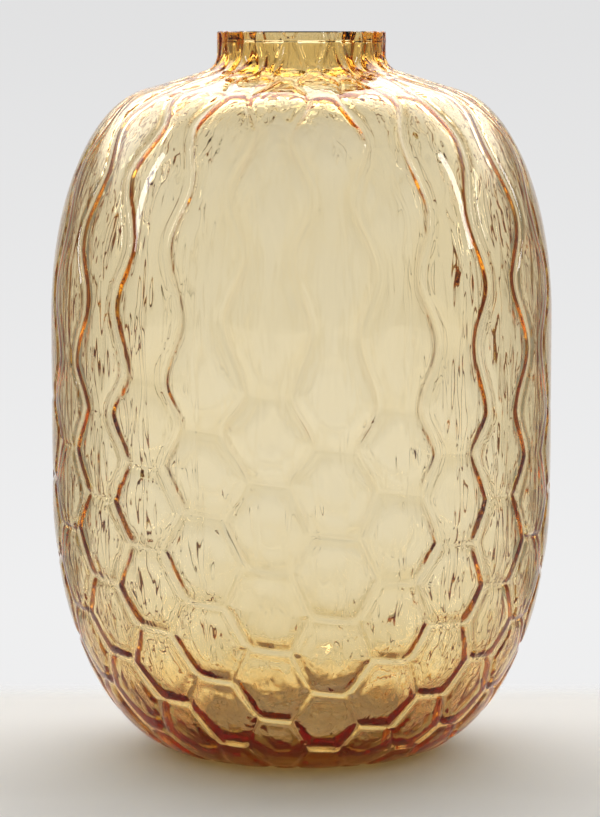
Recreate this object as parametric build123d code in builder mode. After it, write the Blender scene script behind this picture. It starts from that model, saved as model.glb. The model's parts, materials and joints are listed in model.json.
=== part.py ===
from build123d import *
import os
from math import atan2, cos, degrees, radians, sin, tan

# A barrel-shaped blown glass vase. The glassblower gathers glass twice: the first gather is
# the bubble that lines the hollow, the second is the casing that covers it and rests on the table.
# The origin is the centre of the foot, on the table. +Z is up. Everything is in millimetres.

# Overall shape of the vase
overall_height = 350.0
body_radius = 121.8          # widest part, the straight side
foot_radius = 54.5           # flat ring that stands on the table
bowl_height = 130.0          # height at which the bowl curve has reached the straight side
shoulder_rise = 110.0        # upright half-axis of the shoulder curve
shoulder_level_radius = 70.0  # radius at which the shoulder curve would be level
collar_slope = 17.0          # degrees above level, the cone between shoulder and neck
neck_radius = 41.0
neck_length = 17.0           # from the corner of cone and neck up to the rim
neck_root_round = 8.0        # radius of the hollow curve at the root of the neck

# Glass thickness
casing_wall = 2.8
lining_wall = 2.4
casing_neck_wall = 5.0       # glass stays thick at the neck, where the bubble is hardly blown out
lining_neck_wall = 5.0
casing_floor = 7.0
lining_floor = 5.0

# Cold work: the rim is ground flat and its edges are eased, the pontil scar is ground to a dish
outer_edge_ease = 0.5
mouth_bevel_width = 2.4
mouth_bevel_height = 4.0
pontil_radius = 24.0
pontil_depth = 2.0

# The two gathers are fused, so nothing parts them
fused_gap = 0.0

neck_root_height = overall_height - neck_length


def shoulder_join(side_radius, rise):
    """Angle on the shoulder ellipse, in degrees, where its slope equals the collar's."""
    half_width = side_radius - shoulder_level_radius
    return degrees(atan2(rise, half_width * tan(radians(collar_slope))))


outer_join = radians(shoulder_join(body_radius, shoulder_rise))
outer_join_radius = shoulder_level_radius + (body_radius - shoulder_level_radius) * cos(outer_join)
collar_rise = (outer_join_radius - neck_radius) * tan(radians(collar_slope))
shoulder_centre_height = neck_root_height - collar_rise - shoulder_rise * sin(outer_join)


def draw_half_outline(inset, neck_inset, floor_height):
    """Closed half outline of everything inside one glass surface, which lies inset from the outside."""
    side_radius = body_radius - inset
    throat_radius = neck_radius - neck_inset
    rise = shoulder_rise - inset
    join_angle = shoulder_join(side_radius, rise)

    floor = Line((0, floor_height), (foot_radius, floor_height))
    bowl = EllipticalCenterArc(
        (foot_radius, bowl_height),
        side_radius - foot_radius,
        bowl_height - floor_height,
        start_angle=-90,
        arc_size=90,
    )
    shoulder = EllipticalCenterArc(
        (shoulder_level_radius, shoulder_centre_height),
        side_radius - shoulder_level_radius,
        rise,
        start_angle=0,
        arc_size=join_angle,
    )
    Line(bowl @ 1, shoulder @ 0)

    # The collar climbs inwards and turns up into the neck on an arc that is wider for a deeper surface
    collar_direction = Vector(-cos(radians(collar_slope)), sin(radians(collar_slope)))
    turn = 90.0 - collar_slope
    bend_radius = neck_root_round + inset
    corner_height = (shoulder @ 1).Y + ((shoulder @ 1).X - throat_radius) * tan(radians(collar_slope))
    corner = Vector(throat_radius, corner_height)
    bend_start = corner - collar_direction * bend_radius * tan(radians(turn / 2))
    collar = Line(shoulder @ 1, bend_start)
    bend = JernArc(collar @ 1, collar_direction, bend_radius, -turn)
    neck = Line(bend @ 1, (throat_radius, overall_height))
    top = Line(neck @ 1, (0, overall_height))
    Line(top @ 1, floor @ 0)
    return neck


# Outer gather: the casing, with the flat foot and the ground pontil dish under it
lining_inset = casing_wall + fused_gap
lining_neck_inset = casing_neck_wall + fused_gap
pontil_sphere_radius = (pontil_radius**2 + pontil_depth**2) / (2 * pontil_depth)

with BuildPart() as outer_gather:
    with BuildSketch(Plane.XZ):
        with BuildLine():
            draw_half_outline(0, 0, 0)
        make_face()
        with BuildLine():
            draw_half_outline(casing_wall, casing_neck_wall, casing_floor)
        make_face(mode=Mode.SUBTRACT)
    revolve(axis=Axis.Z)
    rim_edges = outer_gather.edges().filter_by(GeomType.CIRCLE).group_by(Axis.Z)[-1]
    chamfer(rim_edges.sort_by(SortBy.RADIUS)[-1], outer_edge_ease)
    with Locations((0, 0, pontil_depth - pontil_sphere_radius)):
        Sphere(pontil_sphere_radius, mode=Mode.SUBTRACT)

outer_gather.part.label = "outer_gather"


# Inner gather: the lining, which fills the casing face to face and carries the bore of the mouth
bore_inset = lining_inset + lining_wall
bore_neck_inset = lining_neck_inset + lining_neck_wall
lining_underside = casing_floor + fused_gap

with BuildPart() as inner_gather:
    with BuildSketch(Plane.XZ):
        with BuildLine():
            draw_half_outline(lining_inset, lining_neck_inset, lining_underside)
        make_face()
        with BuildLine():
            bore_wall = draw_half_outline(bore_inset, bore_neck_inset, lining_underside + lining_floor)
        make_face(mode=Mode.SUBTRACT)
    revolve(axis=Axis.Z)
    mouth_edge = inner_gather.edges().filter_by(GeomType.CIRCLE).group_by(Axis.Z)[-1].sort_by(SortBy.RADIUS)[0]
    rim_face = inner_gather.faces().filter_by(GeomType.PLANE).sort_by(Axis.Z)[-1]
    chamfer(mouth_edge, mouth_bevel_width, mouth_bevel_height, reference=rim_face)

inner_gather.part.label = "inner_gather"


os.makedirs("parts", exist_ok=True)
export_step(outer_gather.part, "parts/outer_gather.step")
export_step(inner_gather.part, "parts/inner_gather.step")

bore_bottom = (bore_wall @ 0).Y
bore_top = overall_height - mouth_bevel_height
bore_radius = neck_radius - bore_neck_inset
print("mouth bore: radius", round(bore_radius, 3), "from", round(bore_bottom, 3), "to", round(bore_top, 3))
print("shoulder curve centre height", round(shoulder_centre_height, 2))
print("volumes in cubic millimetres", round(outer_gather.part.volume), round(inner_gather.part.volume))
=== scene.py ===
# %% [markdown]
# # A hand blown amber vase with a honeycomb relief
# The vase is one vessel made of two gathers of glass. The inner gather is the bubble that was blown
# first; the outer gather was taken over it and pressed into a honeycomb mould before the vase was
# blown to its full size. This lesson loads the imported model, builds both gathers as fine meshes
# in code, gives them a plain glass that darkens with its depth, and lights them softly.
# Lengths are in metres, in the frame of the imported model: +Z is up and the table is at Z = 0.

import json
import math

import bpy
import numpy as np
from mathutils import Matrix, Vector


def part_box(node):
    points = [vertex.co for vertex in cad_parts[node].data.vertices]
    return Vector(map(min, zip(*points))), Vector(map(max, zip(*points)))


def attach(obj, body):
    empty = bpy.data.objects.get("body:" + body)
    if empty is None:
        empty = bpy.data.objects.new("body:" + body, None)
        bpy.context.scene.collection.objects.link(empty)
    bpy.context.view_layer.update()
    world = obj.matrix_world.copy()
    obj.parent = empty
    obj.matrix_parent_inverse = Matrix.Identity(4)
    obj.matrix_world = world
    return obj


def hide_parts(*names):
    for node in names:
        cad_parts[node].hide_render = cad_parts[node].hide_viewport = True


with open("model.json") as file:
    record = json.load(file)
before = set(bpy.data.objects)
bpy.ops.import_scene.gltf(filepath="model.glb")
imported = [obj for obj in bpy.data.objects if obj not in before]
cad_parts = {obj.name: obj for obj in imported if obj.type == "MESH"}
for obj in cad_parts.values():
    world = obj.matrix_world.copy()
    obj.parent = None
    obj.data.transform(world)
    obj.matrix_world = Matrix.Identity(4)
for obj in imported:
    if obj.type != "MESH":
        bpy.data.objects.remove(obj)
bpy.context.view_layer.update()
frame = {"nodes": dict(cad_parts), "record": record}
MM = 0.001

# %% [markdown]
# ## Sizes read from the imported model
# The looks have to fit the model, so the sizes of the glass come from it: the rings of points on the
# two CAD gathers say how wide the foot is, where the bowl turns into the straight side, how thick
# the glass is and where the shoulder starts. Typing the same numbers again would also work, but
# then the looks would stay behind when the model changes.

# %% Read the sizes
hair = 0.01 * MM          # closer than this, two CAD points count as level with each other
overall_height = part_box("outer_gather")[1].z
mouth = [m for m in frame["record"]["mounts"] if m["name"] == "mouth"][0]

casing_points = np.array([v.co for v in frame["nodes"]["outer_gather"].data.vertices])
lining_points = np.array([v.co for v in frame["nodes"]["inner_gather"].data.vertices])
casing_radii = np.hypot(casing_points[:, 0], casing_points[:, 1])
lining_radii = np.hypot(lining_points[:, 0], lining_points[:, 1])
casing_heights = casing_points[:, 2]
lining_heights = lining_points[:, 2]

body_radius = casing_radii.max()
straight_side = casing_heights[casing_radii > body_radius - hair]
bowl_height = straight_side.min()
shoulder_centre_height = straight_side.max()
casing_wall = body_radius - lining_radii.max()
bore_radius = mouth["dims"]["r_mm"] * MM
bore_top = mouth["pos_m"][2] + mouth["dims"]["length_mm"] / 2 * MM
on_table = casing_heights < hair
foot_radius = casing_radii[on_table].max()
pontil_radius = casing_radii[on_table].min()
pontil_depth = casing_heights[casing_radii < 1 * MM].min()
casing_floor = lining_heights.min()
over_foot = (lining_heights > casing_floor + 1 * MM) & (lining_radii < foot_radius + hair)
hollow_floor = lining_heights[over_foot].min()
lining_rim = lining_heights > overall_height - hair
rim_inner_radius = lining_radii[lining_rim].min()
neck_radius = casing_radii[casing_heights > overall_height - 1 * MM].max()
wall = body_radius - lining_radii[np.abs(lining_heights - bowl_height) < hair].min()
lining_wall = wall - casing_wall
neck_wall = neck_radius - bore_radius
casing_neck_wall = neck_radius - lining_radii[lining_rim].max()
read_sizes = {"foot radius": foot_radius, "body radius": body_radius, "neck radius": neck_radius,
              "wall": wall, "neck wall": neck_wall, "floor": hollow_floor}
for size_name, size in read_sizes.items():
    print(size_name, round(size / MM, 2), "mm")

# %% [markdown]
# ## The outline of a glass surface
# Every surface of the vase is the same kind of outline turned about the axis: a bowl that is a quarter
# ellipse, a straight side, a shoulder that is part of an ellipse, a shallow cone called the
# collar, a hollow bend and the neck. Blender's Screw modifier could turn such an outline, but the
# relief needs points close together along its grooves, so the outline is a function of the distance
# along it, and rings are laid one by one. The print compares it with the CAD's own points.

# %% The outline as a curve
shoulder_level_radius = 70 * MM    # radius at which the shoulder curve would be level
collar_slope = math.radians(17)    # the cone between shoulder and neck
neck_root_round = 8 * MM           # hollow bend at the root of the neck
shoulder_rise = 110 * MM           # upright half-axis of the shoulder curve
OUTLINE_POINTS = 6000
CURVE_POINTS = 900        # on the bowl and on the shoulder
BEND_POINTS = 200


def outline(inset, neck_inset, floor_height):
    """Points (radius, height), evenly spaced, up a surface that lies inset from the outside."""
    side = body_radius - inset
    throat = neck_radius - neck_inset
    rise = shoulder_rise - inset
    half_width = side - shoulder_level_radius
    quarter = np.linspace(-math.pi / 2, 0, CURVE_POINTS)
    bowl = np.stack([
        foot_radius + (side - foot_radius) * np.cos(quarter),
        bowl_height + (bowl_height - floor_height) * np.sin(quarter),
    ], axis=1)
    join = math.atan2(rise, half_width * math.tan(collar_slope))
    rise_angle = np.linspace(0, join, CURVE_POINTS)
    shoulder = np.stack([
        shoulder_level_radius + half_width * np.cos(rise_angle),
        shoulder_centre_height + rise * np.sin(rise_angle),
    ], axis=1)
    turn = math.pi / 2 - collar_slope
    bend_radius = neck_root_round + inset
    corner_height = shoulder[-1, 1] + (shoulder[-1, 0] - throat) * math.tan(collar_slope)
    bend_centre = (throat + bend_radius, corner_height + bend_radius * math.tan(turn / 2))
    sweep = np.linspace(math.pi + turn, math.pi, BEND_POINTS)
    bend = np.stack([
        bend_centre[0] + bend_radius * np.cos(sweep),
        bend_centre[1] + bend_radius * np.sin(sweep),
    ], axis=1)
    path = np.concatenate([bowl, shoulder, bend, [(throat, overall_height)]])
    distance = np.concatenate([[0], np.cumsum(np.hypot(*np.diff(path, axis=0).T))])
    even = np.linspace(0, distance[-1], OUTLINE_POINTS)
    return np.stack([np.interp(even, distance, path[:, i]) for i in (0, 1)], axis=1)


crest = outline(0, 0, 0)
seam = outline(casing_wall, casing_neck_wall, casing_floor)
bore = outline(wall, neck_wall, hollow_floor)
crest_length = np.hypot(*np.diff(crest, axis=0).T).sum()
along_crest = np.linspace(0, crest_length, OUTLINE_POINTS)
outside = (casing_radii > foot_radius + 1 * MM) & (casing_heights < overall_height - 1 * MM)
every_so_many = 400
cad_points = np.stack([casing_radii, casing_heights], axis=1)[outside][::every_so_many]
to_outline = [min(np.hypot(*(line - point).T).min() for line in (crest, seam)) for point in cad_points]
print("crest line", round(crest_length / MM, 1), "mm")
print("the CAD's points lie within", round(max(to_outline) / MM, 3), "mm of it or of the seam")

# %% [markdown]
# ## The honeycomb, laid out in columns and half rows
# The mould presses 24 columns of six-sided cells. Neighbouring columns are half a row apart, so the
# line between two columns zigzags, and every second half row has a level groove across each column.
# Blowing stretches the cells: low on the vase they are regular, and above the middle they are so
# long that only the zigzag lines are left. A bump texture could show that, but glass is seen by
# what it bends, and a bump doesn't bend the light at the far side, so the relief is modelled.
# A place on the vase is a column number and a half row number, and this cell turns the half row
# number into a distance along the crest line.

# %% Half rows up the vase
COLUMNS = 24
column_angle = 2 * math.pi / COLUMNS
first_level = 31.5 * MM                    # distance from the foot's edge to half row 0
row_zones = [(9, 20.0), (4, 31.0), (2, 25.5), (2, 14.0)]   # how many half rows, and their height in mm
level_lengths = [first_level]
for count, height in row_zones:
    for _ in range(count):
        level_lengths.append(level_lengths[-1] + height * MM)
last_level = len(level_lengths) - 1
lowest_level = -3
level_numbers = np.arange(lowest_level, last_level + 3)
below = [first_level + n * row_zones[0][1] * MM for n in range(lowest_level, 0)]
above = [level_lengths[-1] + n * row_zones[-1][1] * MM for n in (1, 2)]
level_lengths = np.array(below + level_lengths + above)


def length_at(level):
    """Distance along the crest line at a half row number."""
    return np.interp(level, level_numbers, level_lengths)


level_at_foot = np.interp(0, level_lengths, level_numbers)
level_at_rim = np.interp(crest_length, level_lengths, level_numbers)
print("half rows", round(level_at_foot, 2), "at the foot to", round(level_at_rim, 2), "at the rim")

# %% [markdown]
# ## The lines of the honeycomb
# Each line between two columns swings left and right, one half row after the other. Near the foot
# the swings are straight and meet in corners; higher up they have flowed into waves. Nothing
# blown by hand is exact, so each corner is a little off its place, with a fixed seed.

# %% Zigzag lines and where they run
random = np.random.default_rng(24)
swing = math.radians(2.3)
table_shape = (COLUMNS, len(level_numbers))
corner_shift = random.normal(0, math.radians(0.35), table_shape)
corner_lift = random.normal(0, 0.9 * MM, table_shape)
groove_strength = 1 + random.normal(0, 0.10, table_shape)
flow_low, flow_high = 0.15, 0.9            # 0 is a straight zigzag, 1 is a smooth wave
flow_from, flow_to = 5, 10                 # half rows between which the zigzag turns into waves
lean_in_by = 60 * MM                       # from the foot's edge, where the lean of the rows is full
lean_out_from, lean_out_to = 290 * MM, 386 * MM


def ease(x, start, end):
    """A smooth step from 0 at start to 1 at end."""
    t = np.clip((x - start) / (end - start), 0, 1)
    return t * t * (3 - 2 * t)


def between_levels(level):
    """The half row below a level, and how far the way to the next one is, in a flowing line."""
    lower = np.clip(np.floor(level), lowest_level, level_numbers[-2]).astype(int)
    part = level - lower
    flow = flow_low + (flow_high - flow_low) * ease(level, flow_from, flow_to)
    return lower, (1 - flow) * part + flow * (1 - np.cos(math.pi * part)) / 2


def at_corners(table, line, level):
    """A value given for each corner of the honeycomb, at a line and a level between corners."""
    lower, share = between_levels(level)
    index = lower - lowest_level
    return table[line % COLUMNS, index] * (1 - share) + table[line % COLUMNS, index + 1] * share


def line_angle(line, level):
    """Angle round the axis of the line on the left of a column."""
    lower, share = between_levels(level)
    side = 1 - 2 * ((line + lower) % 2)
    zigzag = swing * side * (1 - 2 * share)
    return line * column_angle + zigzag + at_corners(corner_shift, line, level)


def tilt_fade(level):
    """The rows lean by this share: fully on the body, not at the foot and not at the rim."""
    length = length_at(level)
    return ease(length, 0, lean_in_by) * (1 - ease(length, lean_out_from, lean_out_to))


for level in (2, 3):
    print("line 1 at half row", level, "is at", round(math.degrees(line_angle(1, level)), 1), "degrees")

# %% [markdown]
# ## How deep the relief is
# Outside, the mould leaves a shallow groove along every line. Inside, the cells are blown hollow, like
# dishes, and the glass between them stays as a rounded ridge behind each groove. Both follow one
# rule: a place's nearness to a line runs from 0 to 1, and the depth is that nearness times the depth
# of this zone. The level grooves are strong near the foot, die out half way up, and come back as
# arches under the neck. A texture could show the lines, but not how the dishes bend the light.

# %% Depths and widths of grooves and ridges
groove_half_width = 2.9 * MM
widest_share = 0.16                        # of a column, where columns are narrow
ridge_half_width = 4.2 * MM
dish_reach = 13 * MM                       # how far the foot of a ridge in the bore spreads into its cells
narrow_share = 0.35                         # of the ridge's height
# Pairs of lists: half rows, and in millimetres, or as a share, what holds there
groove_depth = ([-1.6, -0.8, 6, 9, 13, 16, 17.4], [0.3, 0.85, 0.85, 0.8, 0.75, 0.7, 0.7])
ridge_height = ([-1.6, 0.5, 6, 10, 13, 15, 16, 17.4], [0.4, 2.1, 2.1, 1.9, 1.8, 1.6, 1.0, 0.5])
level_grooves = ([6, 7, 8, 9, 10, 13, 14, 15, 16, 17],
                 [1.0, 0.8, 0.45, 0.2, 0.05, 0.05, 0.7, 0.9, 0, 0.5])
crown = 0.4 * MM                           # how far a cell bulges between its grooves
arch_rise = 5 * MM
arch_levels = (14, 15)
lean = 13.4 * MM                           # the rows are this much lower on the right


def groove_shape(distance, scale):
    """1 on a line and 0 from the groove's half width outwards, with a round bottom and crisp shoulders."""
    return 1 - np.clip(distance / (groove_half_width * scale), 0, 1) ** 2


def ridge_shape(distance, scale):
    """1 on a line: part of it is a narrow ridge, and the rest falls away into the cell, like a dish."""
    narrow = np.cos(np.clip(distance / (ridge_half_width * scale), 0, 1) * math.pi / 2) ** 2
    dish = np.clip(1 - distance / (dish_reach * scale), 0, 1) ** 2
    return narrow_share * narrow + (1 - narrow_share) * dish


def line_slant(line, level, radius):
    """How much shorter the way square to a slanting line is than the way along the ring."""
    step = 0.02
    rise = (length_at(level + step) - length_at(level - step)) / radius
    return np.cos(np.arctan((line_angle(line, level + step) - line_angle(line, level - step)) / rise))


def column_place(column, level, part, radius):
    """Where a point is in its column: angle, distances to both lines, and the column's width."""
    left, right = line_angle(column, level), line_angle(column + 1, level)
    width = (right - left) * radius
    to_left = part * width * line_slant(column, level, radius)
    to_right = (1 - part) * width * line_slant(column + 1, level, radius)
    return left + (right - left) * part, to_left, to_right


def level_groove(column, level):
    """The column's nearest level groove: distance along the outline, strength, half rows off."""
    nearest = 2 * np.round((level + column) / 2) - column
    distance = np.abs(length_at(level) - length_at(nearest))
    return distance, np.interp(nearest, *level_grooves), np.abs(level - nearest)


def relief_scale(radius):
    """The relief is narrower where the columns are, at the foot and at the neck."""
    return np.minimum(1, widest_share * column_angle * radius / groove_half_width)


def relief(column, level, part, radius, shape):
    """Nearness to the lines, from 0 to 1, and how near the cell's edge is, from 0 in its middle to 1."""
    angle, to_left, to_right = column_place(column, level, part, radius)
    scale = relief_scale(radius)
    across = 1 - (1 - shape(to_left, scale)) * (1 - shape(to_right, scale))
    distance, strength, rows_off = level_groove(column, level)
    along = strength * shape(distance, scale)
    edge = 1 - (1 - (2 * part - 1) ** 2) * (1 - strength * (1 - rows_off) ** 2)
    return angle, 1 - (1 - across) * (1 - along), edge


# %% [markdown]
# ## A skin of glass
# A skin is a grid: rings up the outline, and points round each ring. The points gather beside the
# lines of the honeycomb, where the surface turns quickly, and are sparse in the middle of the
# cells. That keeps each gather under two hundred thousand triangles and still shows every groove.

# %% Rings and the points on them
groove_points = (0, 0.28, 0.6, 0.93, 1.2, 1.7)          # distances from a line, in half widths
middle_points = 5
cell_rows = (0, 0.045, 0.1, 0.16, 0.26, 0.38, 0.5, 0.62, 0.74, 0.84, 0.9, 0.955)
wave_rows = np.linspace(0, 1, 9, endpoint=False)
neck_rows = np.linspace(0, 1, 10, endpoint=False)
first_wave_level, first_neck_level = 8, 13
skin_levels = []
for lower in range(int(math.floor(level_at_foot)), last_level + 1):
    shares = cell_rows if lower < first_wave_level else wave_rows if lower < first_neck_level else neck_rows
    skin_levels += [lower + share for share in shares]
skin_levels = np.array([x for x in skin_levels if level_at_foot < x < level_at_rim - 0.1])
points_per_column = 2 * len(groove_points) - 1 + middle_points
ring_points = COLUMNS * points_per_column
print(len(skin_levels), "rings of", ring_points, "points")

# %% [markdown]
# ## From half rows to points in space
# The depth of the glass under the crest line isn't the same everywhere: the floor is more than twice as
# thick as the wall. So the distance inwards to the seam and to the bore is measured once along
# the outline, square to it, and looked up after that.

# %% Places on the outline
crest_steps = np.diff(crest, axis=0)
crest_directions = crest_steps / np.hypot(*crest_steps.T)[:, None]
crest_directions = np.vstack([crest_directions, crest_directions[-1]])
crest_normals = np.stack([crest_directions[:, 1], -crest_directions[:, 0]], axis=1)


def depth_below_crest(surface):
    """How far inwards, square to the crest line, another outline lies, along the crest line."""
    every = slice(None, None, 4)
    places, directions, normals = crest[every], crest_directions[every], crest_normals[every]
    offset = surface[None, every] - places[:, None]
    along = np.einsum("ijk,ik->ij", offset, directions)
    inwards = -np.einsum("ijk,ik->ij", offset, normals)
    hit = np.argmin(np.abs(along) + ((inwards < 0) | (inwards > 2 * hollow_floor)), axis=1)
    return np.interp(along_crest, along_crest[every], inwards[np.arange(len(places)), hit])


seam_depth = depth_below_crest(seam)
bore_depth = depth_below_crest(bore)


def place(length, depth, angle):
    """A point at a depth below the crest line, at an angle to the right of the front."""
    length = np.broadcast_to(length, np.broadcast(length, depth, angle).shape)
    radius, height = (np.interp(length, along_crest, crest[:, i])
                      - depth * np.interp(length, along_crest, crest_normals[:, i]) for i in (0, 1))
    return np.stack([radius * np.sin(angle), -radius * np.cos(angle), height], axis=-1)


for name, depths in (("seam", seam_depth), ("bore", bore_depth)):
    print(name, "lies", round(depths.max() / MM, 2), "to", round(depths.min() / MM, 2), "mm deep")

# %% Points round the rings
columns = np.arange(COLUMNS)[None, :, None]


def ring_parts(level):
    """How far across its column each point of a ring is, from 0 at the left line to 1 at the right one."""
    radius = np.interp(length_at(level), along_crest, crest[:, 0])
    half_width = groove_half_width * relief_scale(radius)
    width = (line_angle(columns + 1, level) - line_angle(columns, level)) * radius
    near = half_width * np.array(groove_points) / width
    start = near[..., -1:]
    middle = start + (1 - 2 * start) * np.arange(1, middle_points + 1) / (middle_points + 1)
    return np.concatenate([near, middle, 1 - near[..., :0:-1]], axis=2), radius


def arch(level, part):
    """The level grooves under the neck rise in the middle of their columns."""
    lift = 0
    for k in arch_levels:
        lift = lift + np.clip(1 - np.abs(level - k), 0, 1) * ((columns + k) % 2 == 0)
    return lift * arch_rise * (1 - (2 * part - 1) ** 2)


def waviness(angle, length, seed):
    """Slow uneven waves, from 0 to 1, such as hot glass keeps."""
    draw = np.random.default_rng(seed)
    total = 0
    waves = 7
    for _ in range(waves):
        around, up, phase = draw.integers(2, 9), draw.uniform(-40, 40), draw.uniform(0, 2 * math.pi)
        total = total + np.sin(around * angle + up * length + phase)
    return 0.5 + total / (2 * waves)


wave_height = 0.3 * MM
kept_lining = 0.35 * MM                    # glass that stays between the deepest hollow and the seam


def skin(levels, inside, edge_length):
    """Rings of points over the relief, outside or in the bore; the last one is at edge_length."""
    level = np.append(levels, level_at_rim)[:, None, None]
    part, radius = ring_parts(level)
    angle, near, bulge = relief(columns, level, part, radius, ridge_shape if inside else groove_shape)
    length = (length_at(level) - lean * np.sin(angle) * tilt_fade(level) + arch(level, part)
              + at_corners(corner_lift, columns, level) * tilt_fade(level))
    length = np.clip(length, 0.3 * MM, edge_length - 0.8 * MM * (level < level_at_rim))
    length[-1] = edge_length
    strength = at_corners(groove_strength, columns, level)
    if inside:
        height = np.interp(level, *ridge_height) * MM
        loose = wave_height * waviness(angle, length, 5) * tilt_fade(level)
        hollow = np.minimum(height * (1 - near) * strength + loose, lining_wall - kept_lining)
        depth = np.interp(length, along_crest, bore_depth) - hollow
    else:
        depth = near * strength * np.interp(level, *groove_depth) * MM + crown * bulge
    points = place(length, depth, angle)
    return points.reshape(len(level), ring_points, 3), angle.reshape(len(level), ring_points)


outer_edge_ease = overall_height - casing_heights[casing_radii > neck_radius - 0.01 * MM].max()
outer_skin, skin_angles = skin(skin_levels, False, crest_length - outer_edge_ease)
bore_skin = skin(skin_levels, True, crest_length - (overall_height - bore_top))[0]
print("outer skin", outer_skin.shape, "rim edge eased by", round(outer_edge_ease / MM, 2), "mm")

# %% [markdown]
# ## Two gathers, each a closed body
# Each gather is one unbroken chain of rings from the middle of its underside, out, up, over the rim
# and back down to the middle of its other side. Each is closed, so it holds glass and not only
# a surface. The two meet at the seam. Real gathers are fused there, and light goes straight on,
# so the faces of the seam carry a number that tells the glass not to bend light at them.

# %% Rings of the floor, foot, rim and seam
seam_ring_count = 36
seam_clearance = 0.01 * MM
heading = np.unwrap(np.arctan2(crest_directions[:, 1], crest_directions[:, 0]))
smoothing_points = 200
smoothing = np.ones(smoothing_points) / smoothing_points
turning = np.convolve(np.abs(np.gradient(heading, along_crest)), smoothing, mode="same")
crowding = np.cumsum(np.sqrt(turning) + 1.5)
shares = np.linspace(crowding[0], crowding[-1], seam_ring_count)
seam_lengths = np.interp(shares, crowding, along_crest)
seam_steps = np.diff(seam_lengths) / MM
print("seam rings are", round(seam_steps.min(), 1), "to", round(seam_steps.max(), 1), "mm apart")


def flat_ring(radius, height):
    """A level ring of points, at the angles of the lowest ring of the outer skin."""
    angle = skin_angles[0]
    points = np.stack([radius * np.sin(angle), -radius * np.cos(angle), np.full(ring_points, height)], axis=1)
    return points


def seam_rings(shift):
    """The seam from the edge of the floor up to the rim, moved inwards by shift."""
    rings = []
    for length in seam_lengths:
        level = np.interp(length, level_lengths, level_numbers)
        depth = np.interp(length, along_crest, seam_depth) + shift
        angle = skin_angles[np.argmin(np.abs(skin_levels - level))]
        rings.append(place(length, depth, angle))
    rings[-1] = rings[-1] * [1, 1, 0] + [0, 0, overall_height]
    return rings


def disc_rings(outer_radius, height_at, shares):
    """Rings from the middle outwards; height_at gives the height at a radius."""
    middle = np.array([[0, 0, height_at(0)]])
    return [middle] + [flat_ring(outer_radius * share, height_at(outer_radius * share)) for share in shares]


def rim_ring(below, radius_change):
    """The ring above another one, at the top of the rim, wider or narrower by radius_change."""
    radius = np.hypot(below[:, 0], below[:, 1])
    scale = ((radius + radius_change) / radius)[:, None]
    return below * np.hstack([scale, scale, np.zeros_like(scale)]) + [0, 0, overall_height]


# %% Joining rings into a mesh
def close_rings(name, rings, fused_from, fused_to, sharp, ground=(), blown=()):
    """A closed mesh from a chain of rings between two single points.

    The rings from fused_from to fused_to lie on the seam. The rings in sharp are hard edges, those in
    ground are ground matt, and those in blown have the fine waves of the bore.
    """
    starts = np.cumsum([0] + [len(ring) for ring in rings])
    faces, face_ring = [], []
    here = np.arange(ring_points)
    there = np.roll(here, -1)
    for i in range(len(rings) - 1):
        a, b = starts[i], starts[i + 1]
        if i == 0:
            new = np.stack([np.zeros_like(here), b + there, b + here], axis=1)
        elif i == len(rings) - 2:
            new = np.stack([a + here, a + there, np.full_like(here, b)], axis=1)
        else:
            new = np.stack([a + here, a + there, b + there, b + here], axis=1)
        faces += new.tolist()
        face_ring += [i] * ring_points
    mesh = bpy.data.meshes.new(name)
    mesh.from_pydata(np.concatenate(rings).tolist(), [], faces)
    mesh.shade_smooth()
    face_ring = np.array(face_ring)
    fused = (face_ring >= fused_from) & (face_ring < fused_to)
    bend = mesh.attributes.new("bend", "FLOAT", "FACE")
    bend.data.foreach_set("value", np.where(fused, 1.0, glass_ior).astype(np.float32))
    for kind, rings_of_kind in (("ground", ground), ("blown", blown)):
        number = mesh.attributes.new(kind, "FLOAT", "FACE")
        number.data.foreach_set("value", np.isin(face_ring, rings_of_kind).astype(np.float32))
    ends = np.zeros(len(mesh.edges) * 2, np.int32)
    mesh.edges.foreach_get("vertices", ends)
    ring_of = np.searchsorted(starts, ends.reshape(-1, 2), side="right") - 1
    edge_sharp = (ring_of[:, 0] == ring_of[:, 1]) & np.isin(ring_of[:, 0], sharp)
    mesh.attributes.new("sharp_edge", "BOOLEAN", "EDGE").data.foreach_set("value", edge_sharp)
    mesh.update()
    piece = bpy.data.objects.new(name, mesh)
    bpy.context.scene.collection.objects.link(piece)
    print(name, len(mesh.vertices), "points,", 2 * len(faces) - 2 * ring_points, "triangles")
    return piece


glass_ior = 1.5
print("the glass bends light with an index of", glass_ior)

# %% The outer gather
pontil_sphere = (pontil_radius ** 2 + pontil_depth ** 2) / (2 * pontil_depth)


def pontil_height(radius):
    """Height of the ground dish at a distance from the axis."""
    return pontil_depth - pontil_sphere + math.sqrt(pontil_sphere ** 2 - radius ** 2)


dish = disc_rings(pontil_radius, pontil_height, (0.2, 0.4, 0.6, 0.8, 0.9, 1))
foot_edge = 1.2 * MM                       # the flat foot ends this far inside the foot's radius
foot = [flat_ring(radius, 0.0) for radius in (32 * MM, 40 * MM, 47 * MM, 51.5 * MM, foot_radius - foot_edge)]
seam_outside = seam_rings(-seam_clearance)
floor_shares = (0.25, 0.5, 0.75, 0.9)
casing_floor_disc = disc_rings(foot_radius, lambda radius: casing_floor - seam_clearance, floor_shares)
casing_rings = (dish + foot + list(outer_skin) + [rim_ring(outer_skin[-1], -outer_edge_ease)]
                + seam_outside[::-1] + casing_floor_disc[::-1])
rim_place = len(dish) + len(foot) + len(outer_skin)
casing_glass = close_rings("outer_gather_glass", casing_rings, rim_place + 1, len(casing_rings),
                           (len(dish) - 1, rim_place - 1, rim_place, rim_place + 1),
                           range(len(dish) + len(foot) - 1))

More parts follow.
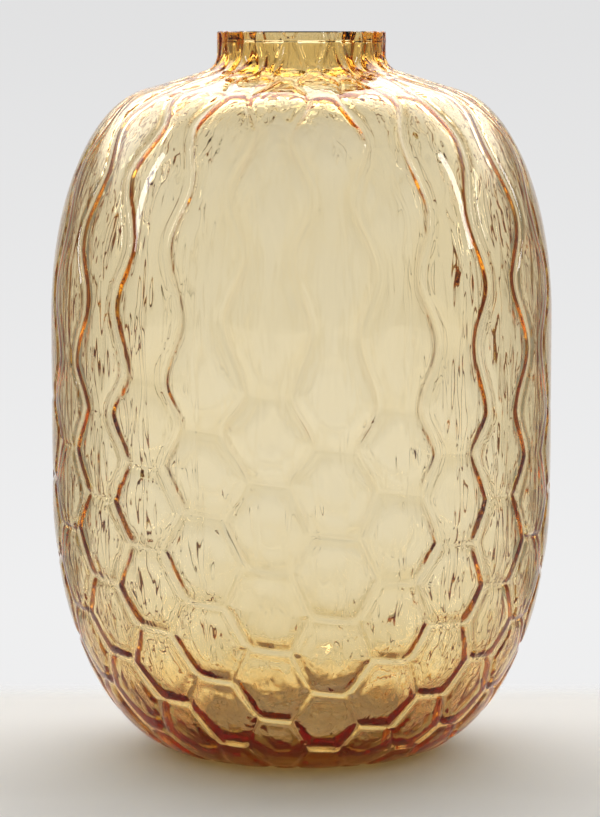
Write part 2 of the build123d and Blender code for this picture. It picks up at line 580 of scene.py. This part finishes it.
# %% The inner gather
mouth_bevel_width = rim_inner_radius - bore_radius
seam_inside = seam_rings(seam_clearance)
lining_base = disc_rings(foot_radius, lambda radius: casing_floor + seam_clearance, floor_shares)
bore_floor = disc_rings(foot_radius, lambda radius: hollow_floor, (0.15, 0.3, 0.45, 0.6, 0.75, 0.88, 0.96))
lining_rings = (lining_base + seam_inside + [rim_ring(bore_skin[-1], mouth_bevel_width)]
                + list(bore_skin[::-1]) + bore_floor[::-1])
seam_end = len(lining_base) + len(seam_inside) - 1
lining_glass = close_rings("inner_gather_glass", lining_rings, 0, seam_end,
                           (seam_end, seam_end + 1, seam_end + 2), (),
                           range(seam_end + 2, len(lining_rings)))

gathers = ((casing_glass, "outer_gather", "casing_glass"), (lining_glass, "inner_gather", "lining_glass"))
for piece, node, finish_slot in gathers:
    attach(piece, "root")
    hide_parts(node)

# %% [markdown]
# ## Amber glass
# Coloured glass isn't painted: a thin wall is nearly clear, and a long way through it is brown. So the
# surface of the shader is colourless, and the colour comes from Volume Absorption, which takes
# away light with every millimetre. The seam's faces get an index of refraction of 1 from the
# number stored on them, which means that they don't bend light. The ground foot is matt. Blown glass
# also keeps fine upright cords, finer than the mesh, so they are a stretched noise that only tilts
# the light at the bore; the ridges and grooves themselves are in the mesh.

# %% Amber glass
amber = bpy.data.materials.new("amber_glass")
amber.use_nodes = True
amber_nodes = amber.node_tree.nodes
amber_links = amber.node_tree.links
surface = amber_nodes["Principled BSDF"]
surface.inputs["Base Color"].default_value = (1, 1, 1, 1)
surface.inputs["Transmission Weight"].default_value = 1
surface.inputs["Roughness"].default_value = 0
bend = amber_nodes.new("ShaderNodeAttribute")
bend.attribute_name = "bend"
amber_links.new(bend.outputs["Fac"], surface.inputs["IOR"])
ground = amber_nodes.new("ShaderNodeAttribute")
ground.attribute_name = "ground"
roughness = amber_nodes.new("ShaderNodeMapRange")
roughness.inputs["To Max"].default_value = 0.9
amber_links.new(ground.outputs["Fac"], roughness.inputs["Value"])
amber_links.new(roughness.outputs["Result"], surface.inputs["Roughness"])
blown = amber_nodes.new("ShaderNodeAttribute")
blown.attribute_name = "blown"
where = amber_nodes.new("ShaderNodeTexCoord")
stretch = amber_nodes.new("ShaderNodeMapping")
cord_width, cord_length = 5.5 * MM, 35 * MM
stretch.inputs["Scale"].default_value = (1 / cord_width, 1 / cord_width, 1 / cord_length)
cords = amber_nodes.new("ShaderNodeTexNoise")
cords.inputs["Scale"].default_value = 1
cords.inputs["Detail"].default_value = 1
cords.inputs["Distortion"].default_value = 0.6
cord_waves = amber_nodes.new("ShaderNodeBump")
cord_waves.inputs["Distance"].default_value = 0.47 * MM
amber_links.new(where.outputs["Object"], stretch.inputs["Vector"])
amber_links.new(stretch.outputs["Vector"], cords.inputs["Vector"])
amber_links.new(cords.outputs["Fac"], cord_waves.inputs["Height"])
amber_links.new(blown.outputs["Fac"], cord_waves.inputs["Strength"])
amber_links.new(cord_waves.outputs["Normal"], surface.inputs["Normal"])
depth_colour = amber_nodes.new("ShaderNodeVolumeAbsorption")
depth_colour.inputs["Color"].default_value = (0.918, 0.727, 0.164, 1)
depth_colour.inputs["Density"].default_value = 110
amber_links.new(depth_colour.outputs["Volume"], amber_nodes["Material Output"].inputs["Volume"])
for piece in (casing_glass, lining_glass):
    piece.data.materials.append(amber)
print("amber glass with", len(amber_nodes), "nodes, on", casing_glass.name, "and", lining_glass.name)

# %% [markdown]
# ## The table, the surroundings and the light
# Clear glass shows nothing of its own: it shows its surroundings, bent. It is lit here with a bright
# field, which is a pale backdrop behind it and less light everywhere else, so the places that bend
# light far to the side turn dark and draw the lines of the honeycomb. A wall of mesh could be the
# backdrop, but it would hide the vase from behind, so the surroundings are the world's own colour.
# High up behind the vase is a stronger glow, which lights the table and the floor of the glass.
# Two narrow lamps put a streak on each shoulder. The table is plain and fades out behind the vase.

# %% Table
table_half = 3.0
table_end = 0.138
floor_mesh = bpy.data.meshes.new("table")
table_back = table_end + 0.06
corners = [(-table_half, -table_half, 0), (table_half, -table_half, 0),
           (table_half, table_back, 0), (-table_half, table_back, 0)]
floor_mesh.from_pydata(corners, [], [(0, 1, 2, 3)])
table = bpy.data.objects.new("table", floor_mesh)
table.location.z = -0.05 * MM
bpy.context.scene.collection.objects.link(table)
paint = bpy.data.materials.new("table_paint")
paint.use_nodes = True
nodes, links = paint.node_tree.nodes, paint.node_tree.links
matt = nodes["Principled BSDF"]
matt.inputs["Base Color"].default_value = (0.77, 0.752, 0.72, 1)
matt.inputs["Roughness"].default_value = 1
matt.inputs["Specular IOR Level"].default_value = 0
spot = nodes.new("ShaderNodeTexCoord")
split = nodes.new("ShaderNodeSeparateXYZ")
fade = nodes.new("ShaderNodeMapRange")
fade.interpolation_type = "SMOOTHSTEP"
fade.inputs["From Min"].default_value = table_end - 0.025
fade.inputs["From Max"].default_value = table_end + 0.03
clear = nodes.new("ShaderNodeBsdfTransparent")
mix = nodes.new("ShaderNodeMixShader")
links.new(spot.outputs["Object"], split.inputs[0])
links.new(split.outputs["Y"], fade.inputs["Value"])
links.new(fade.outputs["Result"], mix.inputs[0])
links.new(matt.outputs[0], mix.inputs[1])
links.new(clear.outputs[0], mix.inputs[2])
links.new(mix.outputs[0], nodes["Material Output"].inputs["Surface"])
floor_mesh.materials.append(paint)
print("the table fades out", round(table_end / MM), "mm behind the middle of the vase")

# %% Surroundings
world = bpy.data.worlds.new("studio")
bpy.context.scene.world = world
world.use_nodes = True
nodes, links = world.node_tree.nodes, world.node_tree.links
direction = nodes.new("ShaderNodeTexCoord")
split = nodes.new("ShaderNodeSeparateXYZ")
ramp = nodes.new("ShaderNodeValToRGB")
lift = nodes.new("ShaderNodeMapRange")
lift.inputs["From Min"].default_value = -1
lift.inputs["From Max"].default_value = 1
links.new(direction.outputs["Generated"], split.inputs[0])
links.new(split.outputs["Z"], lift.inputs["Value"])
links.new(lift.outputs["Result"], ramp.inputs["Fac"])
links.new(ramp.outputs["Color"], nodes["Background"].inputs["Color"])
stops = [(0.0, 0.80), (0.42, 0.86), (0.50, 0.76), (0.62, 0.70), (0.80, 0.6), (1.0, 0.6)]
elements = ramp.color_ramp.elements
while len(elements) < len(stops):
    elements.new(0.5)
for element, (position, value) in zip(elements, stops):
    element.position = position
    element.color = (value, value, value * 1.005, 1)
front_dim = nodes.new("ShaderNodeMapRange")
front_dim.interpolation_type = "SMOOTHSTEP"
front_dim.inputs["From Min"].default_value = 0.80
front_dim.inputs["From Max"].default_value = 0.995
front_dim.inputs["To Min"].default_value = 0.40
links.new(split.outputs["Y"], front_dim.inputs["Value"])
below = nodes.new("ShaderNodeMapRange")
below.interpolation_type = "SMOOTHSTEP"
below.inputs["From Min"].default_value = -0.16
below.inputs["From Max"].default_value = -0.40
links.new(split.outputs["Z"], below.inputs["Value"])
around = nodes.new("ShaderNodeMath")
around.operation = "MAXIMUM"
links.new(front_dim.outputs["Result"], around.inputs[0])
links.new(below.outputs["Result"], around.inputs[1])
high_up = nodes.new("ShaderNodeMapRange")
high_up.interpolation_type = "SMOOTHSTEP"
high_up.inputs["From Min"].default_value = 0.22
high_up.inputs["From Max"].default_value = 0.50
high_up.inputs["To Max"].default_value = 4.5
links.new(split.outputs["Z"], high_up.inputs["Value"])
behind = nodes.new("ShaderNodeMapRange")
behind.interpolation_type = "SMOOTHSTEP"
behind.inputs["From Min"].default_value = 0.05
behind.inputs["From Max"].default_value = 0.45
links.new(split.outputs["Y"], behind.inputs["Value"])
strength = nodes.new("ShaderNodeMath")
strength.operation = "MULTIPLY_ADD"
links.new(high_up.outputs["Result"], strength.inputs[0])
links.new(behind.outputs["Result"], strength.inputs[1])
links.new(around.outputs[0], strength.inputs[2])
links.new(strength.outputs[0], nodes["Background"].inputs["Strength"])
print("surroundings with", len(stops), "shades from below to above")


# %% Lamps
def soft_box(name, place, aim, width, height, watts):
    """A rectangular lamp at a place, turned to a point."""
    lamp = bpy.data.lights.new(name, "AREA")
    lamp.shape = "RECTANGLE"
    lamp.size, lamp.size_y = width, height
    lamp.energy = watts
    holder = bpy.data.objects.new(name, lamp)
    holder.location = place
    holder.rotation_mode = "QUATERNION"
    holder.rotation_quaternion = (Vector(aim) - Vector(place)).to_track_quat("-Z", "Y")
    bpy.context.scene.collection.objects.link(holder)
    print(name, "gives", watts, "W")


middle = Vector((0, 0, overall_height / 2))
soft_box("left_box", (-1.5, -0.1, 0.9), middle, 0.12, 0.8, 2.5)
soft_box("right_box", (1.5, -0.1, 0.9), middle, 0.12, 0.8, 2.5)

# %% [markdown]
# ## The camera
# A long lens from well away keeps the sides of the vase nearly upright. The camera stands as high as
# the rim, so it looks down on the vase a little and sees the foot as a curve and the rim as a line.

# %% Camera
camera_data = bpy.data.cameras.new("camera")
camera = bpy.data.objects.new("camera", camera_data)
bpy.context.scene.collection.objects.link(camera)
bpy.context.scene.camera = camera
camera_data.sensor_width = 36
camera_data.lens = 154.5
camera_side, camera_distance, aim_height = -0.7 * MM, 1.704, 0.1667
camera.location = (camera_side, -camera_distance, overall_height)
aim = Vector((camera_side, 0, aim_height))
camera.rotation_mode = "QUATERNION"
camera.rotation_quaternion = (aim - camera.location).to_track_quat("-Z", "Y")

print("the camera is", camera_distance, "m in front, with a", camera_data.lens, "mm lens")

# %% [markdown]
# ## Light paths and tone
# A ray meets glass many times before it leaves the vase, and each time costs one bounce, so the limit
# is high. The tone is plain, with a little less lightness in the middle greys.

# %% Light paths and tone
scene = bpy.context.scene
glass_bounces = 48
scene.cycles.max_bounces = glass_bounces
scene.cycles.transmission_bounces = glass_bounces
scene.cycles.glossy_bounces = 16
scene.cycles.transparent_max_bounces = 16
scene.view_settings.view_transform = "Standard"
scene.view_settings.gamma = 0.9
scene.view_settings.exposure = 0.04
print("up to", glass_bounces, "bounces")
